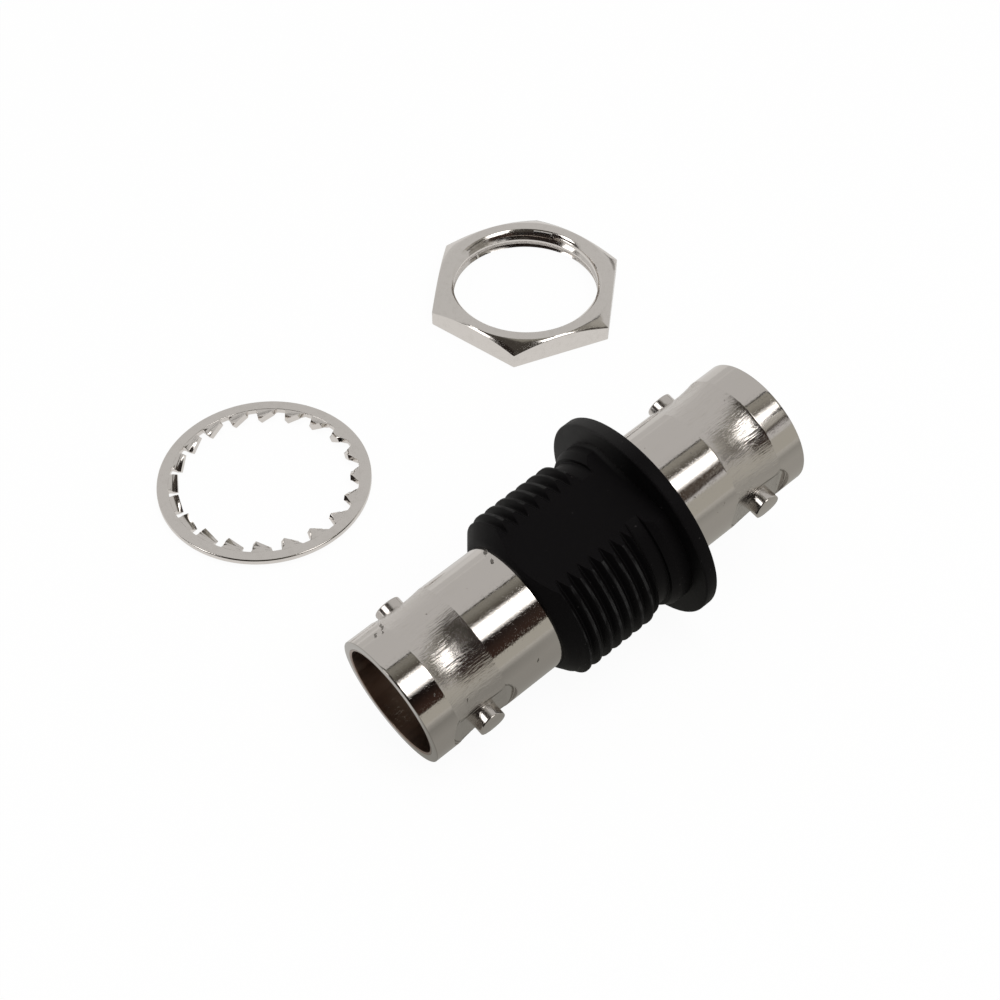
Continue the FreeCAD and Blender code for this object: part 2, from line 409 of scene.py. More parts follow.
class Graph:
    """Node tree that is written as expressions."""

    def __init__(self, tree: bpy.types.NodeTree) -> None:
        """Empties the tree and starts on it."""
        self.tree = tree
        tree.nodes.clear()

    def node(
        self, kind: str, settings: dict[str, Any] | None = None, inputs: dict[Any, Any] | None = None
    ) -> bpy.types.Node:
        """Adds a node.

        Args:
            kind: node type.
            settings: node properties, set first; stops gives a ramp's (place, colour) pairs.
            inputs: value or link for each input, by name or number.

        Returns:
            The new node.
        """
        made = self.tree.nodes.new(kind)
        for key, value in (settings or {}).items():
            if key == "stops":
                ramp = made.color_ramp
                while len(ramp.elements) < len(value):
                    ramp.elements.new(0.5)
                for element, (place, colour) in zip(ramp.elements, value):
                    element.position = place
                    element.color = (*colour, 1)
            else:
                setattr(made, key, value)
        for key, value in (inputs or {}).items():
            socket = made.inputs[key]
            if isinstance(value, Value):
                self.tree.links.new(value.socket, socket)
            elif isinstance(value, Link):
                self.tree.links.new(value, socket)
            elif socket.type == "RGBA":
                socket.default_value = (*value, 1)
            else:
                socket.default_value = value
        return made

    def math(self, operation: str, *values: "Value | float") -> Value:
        """Adds a Math node on numbers."""
        made = self.node("ShaderNodeMath", {"operation": operation}, dict(enumerate(values)))
        return Value(self, made.outputs[0])

    def angle(self, sine: Value, cosine: Value) -> Value:
        """Angle in degrees from its sine and cosine."""
        return self.math("ARCTAN2", sine, cosine) * (180 / math.pi)

    def mix(self, factor: "Value | float", first: Any, second: Any) -> Link:
        """Colour that goes from first to second as factor goes from 0 to 1."""
        made = self.node("ShaderNodeMix", {"data_type": "RGBA"}, {0: factor, 6: first, 7: second})
        return made.outputs[2]

    def layered(self, base: Any, *layers: tuple["Value | float", Any]) -> Any:
        """Colour with more colours laid over it in order.

        Args:
            base: the lowest colour.
            layers: share and colour of each layer.

        Returns:
            The colour on top.
        """
        for share, colour in layers:
            base = self.mix(share, base, colour)
        return base

    def own(self) -> tuple[Link, Value, Value, Value]:
        """The point's place in its piece's own frame.

        Returns:
            The place in millimetres, as a vector and as its three numbers.
        """
        place = self.node("ShaderNodeAttribute", {"attribute_name": "own_mm"}).outputs["Vector"]
        split = self.node("ShaderNodeSeparateXYZ", {}, {0: place})
        return place, *(Value(self, split.outputs[axis]) for axis in range(3))

    def stretched(self, place: Link, sizes: Point) -> Link:
        """Place multiplied by a size for each axis."""
        return self.node("ShaderNodeVectorMath", {"operation": "MULTIPLY"}, {0: place, 1: sizes}).outputs[0]

    def moved(self, place: Link, step: Point) -> Link:
        """Place moved by a step."""
        return self.node("ShaderNodeVectorMath", {"operation": "ADD"}, {0: place, 1: step}).outputs[0]

    def dot(self, vector: Link, direction: Vector) -> Value:
        """How far a vector goes along a direction."""
        made = self.node("ShaderNodeVectorMath", {"operation": "DOT_PRODUCT"}, {0: vector, 1: direction})
        return Value(self, made.outputs["Value"])

    def noise(self, place: Any, scale: float, detail: float = 2.0, rough: float = 0.5) -> Value:
        """Noise from 0 to 1 about one half."""
        made = self.node(
            "ShaderNodeTexNoise", {}, {"Vector": place, "Scale": scale, "Detail": detail, "Roughness": rough}
        )
        return Value(self, made.outputs[0])

    def bump(self, height_mm: Value) -> Link:
        """Normal bent by a height in millimetres."""
        made = self.node("ShaderNodeBump", {}, {"Strength": 1.0, "Distance": MM, "Height": height_mm})
        return made.outputs[0]

    def surface(
        self, tone: Any, rough: Value, height_mm: Value, metallic: float = 1.0, specular: float = 0.5
    ) -> None:
        """Ends a material with a Principled shader.

        Args:
            tone: colour of the surface.
            rough: its roughness.
            height_mm: its relief in millimetres.
            metallic: 1 for metal and 0 for plastic.
            specular: strength of a plastic's shine.
        """
        inputs = {"Base Color": tone, "Roughness": rough, "Normal": self.bump(height_mm)}
        inputs |= {"Metallic": metallic, "Specular IOR Level": specular}
        shader = self.node("ShaderNodeBsdfPrincipled", {}, inputs)
        self.output("ShaderNodeOutputMaterial", shader.outputs[0])

    def shader(self, kind: str, colour: Any, strength: float = 1.0) -> Link:
        """Shader that gives out a colour: Emission on a piece, Background in the world."""
        return self.node(kind, {}, {"Color": colour, "Strength": strength}).outputs[0]

    def either(self, share: "Value | float", first: Link, second: Link) -> Link:
        """Shader that goes from first to second as share goes from 0 to 1."""
        return self.node("ShaderNodeMixShader", {}, {0: share, 1: first, 2: second}).outputs[0]

    def output(self, kind: str, shader: Link) -> None:
        """Ends the tree with a shader."""
        self.node(kind, {}, {"Surface": shader})

    def rays(self) -> tuple[Value, Value]:
        """How the point is seen.

        Returns:
            1 where the camera sees it, and 1 where a reflection or a see-through piece shows it.
        """
        path = self.node("ShaderNodeLightPath")
        seen, mirrored, passed = (
            Value(self, path.outputs[f"Is {kind} Ray"]) for kind in ("Camera", "Glossy", "Transmission")
        )
        return seen, self.math("MAXIMUM", mirrored, passed)


def new_material(name: str) -> tuple[bpy.types.Material, Graph]:
    """Starts a node material.

    Args:
        name: name of the material.

    Returns:
        The empty material and its graph.
    """
    made = bpy.data.materials.new(name)
    made.use_nodes = True
    return made, Graph(made.node_tree)


# Finishes


class BarrelSpot:
    """The point of a barrel that its shader works on, in the sizes that the barrel's marks are laid by."""

    def __init__(self, graph: Graph, jack: "Jack") -> None:
        """Works out the sizes.

        Args:
            graph: node tree of the barrel's material.
            jack: the jack that the barrel belongs to.
        """
        lug = math.radians(jack.lug_angles()[0])
        self.graph = graph
        self.place, self.along, self.side, self.up = graph.own()
        self.out = (self.side * self.side + self.up * self.up) ** 0.5
        self.around = graph.angle(self.side * -1.0, self.up)
        self.above = abs(self.side * -math.sin(lug) + self.up * math.cos(lug))
        self.across = abs(self.side * math.cos(lug) + self.up * math.sin(lug))
        self.from_lug = ((self.along - jack.lug_from_face) ** 2 + self.across**2) ** 0.5


@dataclass(frozen=True)
class BarrelPlate:
    """Bright nickel on the turned barrels, with the milled band round the lugs left coarser."""

    name: str = "barrel_nickel"
    colour: Colour = (0.70, 0.665, 0.635)
    clouded: Colour = (0.60, 0.57, 0.52)
    tarnished: Colour = (0.50, 0.46, 0.41)
    speck: Colour = (0.12, 0.09, 0.07)
    nick: Colour = (0.09, 0.075, 0.06)
    face: Colour = (0.46, 0.44, 0.41)
    # Painted shade: the spot faces' floor, and the dark line round their rim and seams
    spot_floor_shade: Colour = (0.42, 0.40, 0.37)
    spot_rim_shade: Colour = (0.13, 0.115, 0.095)
    bore: Colour = (0.37, 0.28, 0.23)
    bore_stain: Colour = (0.30, 0.22, 0.18)
    # Near white of the scrapes in the mouth: real scrapes, painted bright as a glint
    scraped_glint: Colour = (0.95, 0.92, 0.88)
    roughness: float = 0.06
    milled_roughness: float = 0.19
    bore_roughness: float = 0.28
    grain_mm: float = 0.0012
    pit_mm: float = 0.0011
    cloud_mm: float = 0.004
    stroke_mm: float = 0.030
    broad_mm: float = 0.02
    comb_mm: float = 0.0012
    comb_count: float = 170
    nick_mm: float = 0.05
    rim_mm: float = 0.02
    bend_before: float = 0.030
    bend_after: float = 0.027
    nicks: tuple[Point, ...] = ()
    bore_radius: float = 4.2
    rim_from_lug: float = 1.38
    seed: float = 0.0

    def build(self, jack: "Jack") -> bpy.types.Material:
        """Makes the material.

        Args:
            jack: the jack that wears it.

        Returns:
            The finished material.
        """
        made, graph = new_material(self.name)
        spot = BarrelSpot(graph, jack)
        place = graph.moved(spot.place, (self.seed, 0, 0))
        outside = spot.out.ramp(self.bore_radius, self.bore_radius + 0.1)
        milled = spot.along.within(jack.band()[0], jack.band()[1], 0.06) * outside
        cloud = graph.noise(graph.stretched(place, (0.5, 0.9, 0.9)), 1.0, 2.0) - 0.5
        strokes = graph.noise(graph.stretched(place, (0.9, 5.0, 5.0)), 1.0, 3.0, 0.65) - 0.5
        specks = graph.noise(place, 2.3, 2.0, 0.4).ramp(0.755, 0.785)
        nicks = self.nick_marks(spot)
        rim, floor, wall = self.spot_face_marks(spot, jack, outside)
        plated = graph.layered(
            self.colour,
            (cloud.ramp(0.05, 0.35) * 0.16, self.clouded),
            (milled * strokes.ramp(0.0, 0.35) * 0.3, self.tarnished),
            (specks * 0.65 * outside, self.speck),
            (nicks * 0.75, self.nick),
            (spot.along.ramp(0.06, 0.03) * 0.8, self.face),
            # painted shade on the spot faces: a darker floor and a dark line round the rim
            (floor * 0.5, self.spot_floor_shade),
            (rim * 0.7, self.spot_rim_shade),
        )
        stained = graph.noise(graph.stretched(spot.place, (0.6, 2.4, 2.4)), 1.0, 3.0, 0.6).ramp(0.35, 0.7)
        # scrapes in the mouth, painted bright as a glint
        scrape_and_glint = self.scrape_and_glint(spot, outside)
        inner = graph.layered(self.bore, (stained, self.bore_stain), (scrape_and_glint, self.scraped_glint))
        rough = milled * (self.milled_roughness - self.roughness) + self.roughness
        rough = rough + specks * 0.3 + wall * 0.4 + nicks * 0.25
        rough = rough + (1 - outside) * (self.bore_roughness - self.roughness)
        height = self.relief(spot, jack, place, outside, milled, strokes) + cloud * self.cloud_mm
        height = height - nicks * self.nick_mm - rim * self.rim_mm
        graph.surface(graph.mix(outside, inner, plated), rough, height)
        return made

    def relief(
        self, spot: BarrelSpot, jack: "Jack", place: Link, outside: Value, milled: Value, strokes: Value
    ) -> Value:
        """Grain and pits of the turned barrel, tool strokes of the milled band and the band's bend.

        Args:
            spot: the point.
            jack: the jack that wears the finish.
            place: the point's place, moved by the seed.
            outside: 1 outside the bore.
            milled: 1 on the milled band.
            strokes: noise drawn out along the band's tool strokes.

        Returns:
            Height in millimetres.
        """
        graph = spot.graph
        start, end = jack.band()
        grain = graph.noise(place, 13.0, 2.0, 0.5) - 0.5
        pits = graph.noise(place, 9.0, 2.0, 0.6).ramp(0.56, 0.68)
        broad = graph.noise(graph.stretched(place, (1.1, 0.7, 0.7)), 1.0, 1.0) - 0.5
        comb = graph.math("ARCTAN2", spot.side, spot.up) * self.comb_count + strokes * 5
        comb = graph.math("SINE", comb) * strokes.ramp(-0.2, 0.2)
        behind = graph.math("MINIMUM", graph.math("MAXIMUM", spot.along, start), end) - jack.deepest
        curve = behind.ramp(-0.02, 0.02) * (self.bend_after - self.bend_before) + self.bend_before
        turned = outside * spot.out.ramp(jack.barrel / 2 + 0.075, jack.barrel / 2 + 0.035)
        height = (grain * self.grain_mm + pits * self.pit_mm) * turned + behind * behind * curve * outside
        cut = strokes * self.stroke_mm + broad * self.broad_mm + comb * self.comb_mm
        return height + milled * turned * cut

    def nick_marks(self, spot: BarrelSpot) -> Value | float:
        """Ragged nicks in the plating.

        Args:
            spot: the point.

        Returns:
            1 in a nick.
        """
        marks: Value | float = 0.0
        ragged = spot.graph.noise(spot.place, 5.0, 3.0, 0.7) - 0.5
        for at, angle, size in self.nicks:
            skew = (spot.around - angle) * 0.084
            gap = ((spot.along - at + skew * 0.5) ** 2 * 1.8 + skew * skew * 0.6) ** 0.5 + ragged * size * 2.8
            marks = spot.graph.math("MAXIMUM", marks, gap.ramp(size, size * 0.45))
        return marks

    def spot_face_marks(self, spot: BarrelSpot, jack: "Jack", outside: Value) -> tuple[Value, Value, Value]:
        """Marks of the spot faces that the lugs stand in.

        Args:
            spot: the point.
            jack: the jack that wears the finish.
            outside: 1 outside the bore.

        Returns:
            1 along the rim and its seams, where a dark line of shade is painted, 1 on the floor, which is
            painted darker as shade, and 1 on the wall.
        """
        graph, along, above, ring = spot.graph, spot.along, spot.above, spot.from_lug
        radius, height = jack.spot_face / 2, jack.spot_height
        start, end = jack.band()
        beyond = graph.math("MAXIMUM", along.ramp(start + 0.1, start), along.ramp(end - 0.1, end))
        # painted shade: a dark line along the spot face's rim and along its seams beside the lug
        rim = ring.within(radius - 0.16, radius - 0.06, 0.03) * beyond
        seams = spot.across.within(self.rim_from_lug - 0.05, self.rim_from_lug + 0.05, 0.03)
        seams = seams * along.within(start + 0.15, end - 0.35, 0.15)
        rim = graph.math("MAXIMUM", rim, seams) * above.ramp(height - 0.29, height - 0.14)
        # painted shade: the spot face's floor is drawn darker than the barrel
        floor = above.ramp(height - 0.03, height - 0.01) * above.ramp(height + 0.02, height + 0.01)
        floor = floor * ring.ramp(radius - 0.02, radius - 0.05) * outside
        wall = ring.within(radius - 0.03, radius + 0.06, 0.02) * above.ramp(height + 0.01, height + 0.03)
        return rim, floor, wall * outside

    def scrape_and_glint(self, spot: BarrelSpot, outside: Value) -> Value:
        """Scrapes inside the mouth, on its lower side, painted near white as a glint.

        Args:
            spot: the point.
            outside: 1 outside the bore.

        Returns:
            1 on a scrape.
        """
        lines = spot.graph.noise(spot.graph.stretched(spot.place, (2.0, 6.0, 6.0)), 1.3, 4.0, 0.75)
        held = spot.along.within(0.25, 1.2, 0.15) * spot.around.within(-176, -150, 5) * (1 - outside)
        return held * lines.ramp(0.56, 0.64)


@dataclass(frozen=True)
class HardwarePlate:
    """Bright nickel on the nut and the washer, slightly rolled and tumbled."""

    name: str
    colour: Colour = (0.80, 0.765, 0.735)
    rubbed: Colour = (0.56, 0.53, 0.49)
    roughness: float = 0.09
    grain_mm: float = 0.0008
    wave_mm: float = 0.02

    def build(self) -> bpy.types.Material:
        """Makes the material.

        Returns:
            The finished material.
        """
        made, graph = new_material(self.name)
        place = graph.own()[0]
        grain = graph.noise(place, 6.0, 3.0, 0.6) - 0.5
        wave = graph.noise(place, 0.8, 2.0, 0.5) - 0.5
        rub = graph.noise(place, 2.0, 3.0, 0.6)
        tone = graph.mix(rub.ramp(0.45, 0.75) * 0.18, self.colour, self.rubbed)
        rough = rub * 0.08 + self.roughness
        height = grain * self.grain_mm + wave * self.wave_mm
        graph.surface(tone, rough, height)
        return made


@dataclass(frozen=True)
class MouldedBlack:
    """Satin black plastic, cut on the flat and along the thread."""

    name: str = "black_moulded"
    colour: Colour = (0.0032, 0.0028, 0.0031)
    rubbed: Colour = (0.004, 0.0037, 0.004)
    # Thread crests: partly scuffs, partly a painted highlight along each crest
    dusty: Colour = (0.05, 0.045, 0.045)
    scuffed_sheen: Colour = (0.03, 0.03, 0.03)
    # Painted sheen: the flange's near face made lighter on its lit side
    flange_painted_sheen: Colour = (0.026, 0.0253, 0.0253)
    roughness: float = 0.44
    specular: float = 0.07
    crest: float = 6.29
    grain_mm: float = 0.0016
    wave_mm: float = 0.012

    def build(self) -> bpy.types.Material:
        """Makes the material.

        Returns:
            The finished material.
        """
        made, graph = new_material(self.name)
        place, along, side, up = graph.own()
        out = (side * side + up * up) ** 0.5
        grain = graph.noise(place, 9.0, 3.0, 0.6) - 0.5
        wave = graph.noise(place, 0.9, 2.0, 0.5) - 0.5
        # thread crests: partly scuffed, partly a painted highlight, a thin light line along each crest
        crest_scuff_sheen = out.ramp(self.crest - 0.012, self.crest + 0.004) * along.within(11.6, 18.0, 0.1)
        crest_scuff_sheen = crest_scuff_sheen * graph.noise(graph.stretched(place, (3.0, 0.8, 0.8)), 1.0, 3.0, 0.6).ramp(0.35, 0.65)
        rub = graph.noise(graph.stretched(place, (1.4, 0.8, 0.8)), 1.6, 3.0, 0.6)
        dust = graph.noise(place, 3.4, 2.0, 0.4).ramp(0.76, 0.79)
        tone = graph.layered(
            self.colour,
            (rub.ramp(0.5, 0.8) * 0.5, self.rubbed),
            (dust * 0.5, self.dusty),
            # partly scuffs, partly a painted highlight on the crests
            (crest_scuff_sheen * 0.6, self.scuffed_sheen),
            # painted sheen: the flange's near face lighter towards its lit side
            (along.ramp(20.2, 20.45) * side.ramp(-1.5, 4.5), self.flange_painted_sheen),
        )
        rough = rub * 0.12 + self.roughness
        height = grain * self.grain_mm + wave * self.wave_mm
        graph.surface(tone, rough, height, metallic=0.0, specular=self.specular)
        return made


@dataclass(frozen=True)
class InnerFinish:
    """Plain finish of a piece deep in the jacks: an insulator or the contact."""

    name: str
    colour: Colour
    worn: Colour
    metallic: float
    roughness: float
    grain_mm: float = 0.002

    def build(self) -> bpy.types.Material:
        """Makes the material.

        Returns:
            The finished material.
        """
        made, graph = new_material(self.name)
        spot = graph.node("ShaderNodeTexCoord").outputs["Object"]
        cloud = graph.noise(spot, 900.0, 3.0, 0.6)
        grain = graph.noise(spot, 6000.0, 2.0, 0.5) - 0.5
        tone = graph.mix(cloud.ramp(0.4, 0.75), self.colour, self.worn)
        rough = cloud * 0.15 + self.roughness
        graph.surface(tone, rough, grain * self.grain_mm, metallic=self.metallic)
        return made


# Adapter pieces


@dataclass
class Jack:
    """Jack shell: barrel with a milled band, two lugs standing in spot faces, and the tail in the bushing."""

    end: End
    lay: Lay
    barrel: float = 9.65
    rear: float = 9.56
    milled: float = 9.30
    deepest: float = 3.82
    mouth: float = 8.13
    mouth_depth: float = 5.2
    lug: float = 2.0
    across_lugs: float = 11.0
    lug_from_face: float = 4.1
    band_half: float = 1.95
    spot_face: float = 5.3
    spot_height: float = 4.49
    flat_turn: float = 8.5
    waist: float = 8.6
    bore: float = 4.84
    edge: float = 0.03
    tail: Row = field(default_factory=list)

    def __post_init__(self) -> None:
        """Sets the hidden tail by the end that the shell belongs to."""
        seat, web = 12.2, 14.2
        self.tail = [(seat, self.rear / 2), (seat, self.waist / 2)]
        if self.end is End.NEAR:
            shoulder, spigot, inner, stop = 15.0, 3.9, 3.2, 18.46
            self.tail += [(shoulder, self.waist / 2), (shoulder, spigot)]
            self.tail += [(stop, spigot), (stop, inner), (web, inner)]
        else:
            stop, inner = 17.7, 3.92
            self.tail += [(stop, self.waist / 2), (stop, inner), (web, inner)]
        self.tail.append((web, self.bore / 2))

    def band(self) -> tuple[float, float]:
        """Where the milled band starts and ends, from the mating face."""
        return self.lug_from_face - self.band_half, self.lug_from_face + self.band_half

    def columns(self) -> np.ndarray:
        """Angles of the mesh columns, closer together beside the lugs.

        Returns:
            Angles in radians, in rising order.
        """
        edges = [0.0, 9.0, 17.0, 19.0, 20.3, 21.49, 21.51, 23.0]
        picked = set(np.arange(0, 360, 1.5).round(3).tolist())
        for centre in self.lug_angles():
            picked = {a for a in picked if min(abs(a - centre) % 360, 360 - abs(a - centre) % 360) > 23.4}
            for edge in np.concatenate([np.arange(-18, 18.1, 1.0), edges, -np.array(edges)]):
                picked.add(round((centre + float(edge)) % 360, 4))
        return np.radians(np.array(sorted(picked)))

    def lug_angles(self) -> tuple[float, float]:
        """Angles of the two lugs in this shell's own frame."""
        first = self.flat_turn + 90 if self.end is End.NEAR else -self.flat_turn - 90
        return first % 360, (first + 180) % 360

    def column(self, angle: float) -> np.ndarray:
        """Outline of the shell at one angle.

        Args:
            angle: angle of the column in radians.

        Returns:
            Points (along, out), the same number at every angle.
        """
        gaps = [abs((math.degrees(angle) - lug + 180) % 360 - 180) for lug in self.lug_angles()]
        off = math.radians(min(gaps))
        spot, high, edge = self.spot_face / 2, self.rear / 2, self.edge
        front, back = self.band()
        floor = math.inf
        if min(gaps) < 21.5:
            before = math.sqrt(spot**2 - (self.barrel / 2 * math.sin(off)) ** 2)
            after = math.sqrt(spot**2 - (high * math.sin(off)) ** 2)
            front, back = min(front, self.lug_from_face - before), max(back, self.lug_from_face + after)
            floor = self.spot_height / math.cos(off)
        outline = [(self.mouth_depth, self.bore / 2, 0), (self.mouth_depth, self.mouth / 2, 0.3)]
        outline += [(0, self.mouth / 2, 0.06), (0, self.barrel / 2, 0.05), (0.14, self.barrel / 2, 0)]
        points = eased(outline)
        for step in (*np.linspace(0.5, front - 0.15, 3), front - 2 * edge, front - edge):
            points.append((float(step), self.barrel / 2))
        rows = [(along, min(floor, self.hollow(along))) for along in np.linspace(front, back, 27).tolist()]
        drop = min(edge, (self.barrel / 2 - rows[0][1]) / 2)
        points.append((front, self.barrel / 2 - drop))
        points.append((front, min(rows[0][1] + edge / 2, self.barrel / 2 - drop)))
        rows[0] = (front + edge / 2, rows[0][1])
        rows[-1] = (back - edge / 2, rows[-1][1])
        points += rows
        points.append((back, min(rows[-1][1] + edge / 2, high)))
        points.append((back, max(high - edge, min(rows[-1][1], high))))
        points += [(back + step, high) for step in (edge, 2 * edge, 0.2)]
        points += [(along, high) for along in (7.5, 9.0, 10.5)]
        return np.array(points + self.tail)

    def hollow(self, along: float) -> float:
        """Radius of the hollow milled band.

        Args:
            along: place from the mating face.

        Returns:
            The radius, least at the deepest place.
        """
        start, end = self.band()
        reach, most = (self.deepest - start, 0.165) if along < self.deepest else (end - self.deepest, 0.13)
        return self.milled / 2 + min(most, most * ((along - self.deepest) / reach) ** 2)

    def shell(self) -> Draft:
        """Barrel with its milled band, spot faces and tail.

        Returns:
            The draft, for the lugs to be added to.
        """
        draft = Draft()
        angles = self.columns()
        along, out = np.stack([self.column(float(angle)) for angle in angles], axis=1).transpose(2, 0, 1)
        draft.sheet(along_axis(along, out, angles), ring_rows=True, ring_columns=True)
        return draft

    def add_lug(self, draft: Draft, angle: float) -> None:
        """Adds a lug: a short pin with a crowned end, a broken edge and a small fillet at its foot.

        Args:
            draft: mesh that gets the lug.
            angle: the lug's angle in degrees.
        """
        turn = math.radians(angle)
        out = np.array((0, -math.sin(turn), math.cos(turn)))
        across = np.array((0, math.cos(turn), math.sin(turn)))
        along = np.array((1.0, 0, 0))
        radius = self.lug / 2
        foot = [(radius + 0.05, 0.0), (radius + 0.015, 0.015), (radius, 0.05), (radius, 0.1)]
        crown = [(radius, 0.10), (radius, 0.05), (radius - 0.015, 0.015), (radius - 0.05, 0.0)]
        crown += [(radius * share, 0.0) for share in (0.8, 0.5, 0.2, 0.001)]
        grid = []
        for index, (ring, step) in enumerate(foot + crown):
            row = []
            for spoke in np.linspace(0, 2 * math.pi, 72, endpoint=False):
                lean = ring * math.sin(spoke)
                height = self.spot_height - 0.02 + step
                if index >= len(foot):
                    height = math.sqrt((self.across_lugs / 2) ** 2 - lean**2) - step
                reach = self.lug_from_face + ring * math.cos(spoke)
                row.append(along * reach + across * lean + out * height)
            grid.append(row)
        draft.sheet(np.array(grid), ring_columns=True)

    def build(self, finish: bpy.types.Material) -> bpy.types.Object:
        """Makes the shell with its lugs.

        Args:
            finish: nickel finish.

        Returns:
            The finished object.
        """
        draft = self.shell()
        for angle in self.lug_angles():
            self.add_lug(draft, angle)
        place = self.lay.matrix() if self.end is End.NEAR else self.lay.turned_round()
        made = draft.piece(self.end.value + "_plated", place, sharp_degrees=32.0)
        settle(made, self.end.value, finish)
        return made


@dataclass
class Bushing:
    """Black bushing: chamfered nose, right-hand thread, neck, register and flange, with one flat along it."""

    lay: Lay
    nose: float = 10.7
    nose_out: float = 5.0
    crest: float = 6.3
    root: float = 5.77
    pitch: float = 0.907
    crest_width: float = 0.2
    first_groove: float = 12.0
    neck: float = 18.15
    register: float = 19.2
    register_out: float = 6.35
    face: float = 20.7
    back: float = 21.7
    flange_out: float = 7.794
    bore: float = 4.79
    flat_height: float = 5.4
    flat_turn: float = 8.5
    columns: int = 240

    def envelope(self, along: np.ndarray) -> np.ndarray:
        """Outermost radius along the threaded part.

        Args:
            along: places from the near face.

        Returns:
            The radius at each place.
        """
        steps = (
            (self.nose, self.nose_out),
            (self.nose + 0.12, self.nose_out + 0.25),
            (self.nose + 0.85, self.crest - 0.17),
            (self.nose + 1.02, self.crest),
            (self.neck - 0.3, self.crest),
            (self.neck - 0.05, self.root + 0.06),
            (self.neck + 0.1, self.root),
        )
        return np.interp(along, [place for place, _ in steps], [radius for _, radius in steps])

    def tooth(self) -> Row:
        """One pitch of the thread, from the middle of a groove to the next.

        Returns:
            Points (along, out).
        """
        half_mouth = (self.pitch - self.crest_width) / 2
        corners = [(-0.2 * self.pitch, self.root + 0.3, 0.0), (0, self.root, 0.08)]
        corners += [(half_mouth, self.crest, 0.045), (self.pitch - half_mouth, self.crest, 0.045)]
        corners += [(self.pitch, self.root, 0.08), (self.pitch * 1.2, self.root + 0.3, 0.0)]
        points = [p for p in eased(corners, 3) if -1e-6 < p[0] < self.pitch - 1e-6]
        filled: Row = []
        for index, point in enumerate(points):
            after = points[index + 1] if index + 1 < len(points) else (self.pitch, self.root)
            filled.append(point)
            parts = max(1, round(math.dist(point, after) / 0.08))
            for step in range(1, parts):
                share = step / parts
                along, out = (here + (there - here) * share for here, there in zip(point, after))
                filled.append((along, out))
        return filled

    def threaded(self) -> np.ndarray:
        """Thread as a sheet, its rows running round as a right-hand helix.

        Returns:
            Grid of points.
        """
        angles = np.linspace(0, 2 * math.pi, self.columns + 1)
        start, end = self.nose, self.neck + 0.2
        rows = []
        for turn in range(-3, 10):
            for along, radius in self.tooth():
                here = self.first_groove + turn * self.pitch + along + self.pitch * angles / (2 * math.pi)
                held = np.clip(here, start, end)
                out = np.minimum(self.envelope(held), radius)
                rows.append(along_axis(held, out, angles))
        return np.array(rows)

    def cut_flat(self, work: bmesh.types.BMesh) -> None:
        """Cuts the flat along the body and closes it, and leaves the flange whole.

        Args:
            work: mesh of the body.
        """
        turn = math.radians(self.flat_turn)
        normal = Vector((0, -math.sin(turn), math.cos(turn)))
        parts = work.verts[:] + work.edges[:] + work.faces[:]
        done = bmesh.ops.bisect_plane(
            work, geom=parts, dist=1e-5, plane_co=normal * self.flat_height, plane_no=normal, clear_outer=True
        )
        rim = [item for item in done["geom_cut"] if isinstance(item, bmesh.types.BMEdge)]
        bmesh.ops.holes_fill(work, edges=rim, sides=0)

    def build(self, finish: bpy.types.Material) -> bpy.types.Object:
        """Makes the bushing.

        Args:
            finish: black finish.

        Returns:
            The finished object.
        """
        draft = Draft()
        draft.sheet(self.threaded())
        angles = np.linspace(0, 2 * math.pi, self.columns + 1)
        register = eased(
            [
                (self.register - 0.2, self.root, 0),
                (self.register, self.root, 0.05),
                (self.register, self.register_out - 0.3, 0.05),
                (self.register + 0.5, self.register_out, 0.1),
                (self.face + 0.1, self.register_out, 0),
                (self.face + 0.1, self.bore, 0),
                (self.nose, self.bore, 0),
                (self.nose, self.nose_out, 0),
            ]
        )
        along, out = np.array([(self.neck + 0.2, self.root)] + register).T[:, :, None]
        draft.sheet(along_axis(along, out, angles))
        body = draft.piece("bushing_body", Matrix(), sharp_degrees=28.0, weld=2e-3, trim=self.cut_flat)
        flange = Draft()
        flange.turned(
            eased(
                [
                    (self.face, self.bore, 0),
                    (self.face, self.flange_out, 0.14),
                    (self.back, self.flange_out, 0.16),
                    (self.back, self.bore, 0),
                ]
            )
        )
        disc = flange.piece("bushing_flange", Matrix(), sharp_degrees=40.0)
        made = self.joined(body, disc)
        settle(made, "insulating_bushing", finish)
        return made

    def joined(self, body: bpy.types.Object, disc: bpy.types.Object) -> bpy.types.Object:
        """Joins the bushing's body and flange and lays them in their place.

        Args:
            body: object of the body.
            disc: object of the flange, which goes away.

        Returns:
            One object of both.
        """
        work = bmesh.new()
        work.from_mesh(body.data)
        work.from_mesh(disc.data)
        work.to_mesh(body.data)
        work.free()
        bpy.data.objects.remove(disc)
        body.data.transform(self.lay.matrix())
        body.name = "threaded_bushing"
        return body


# Hardware taken off


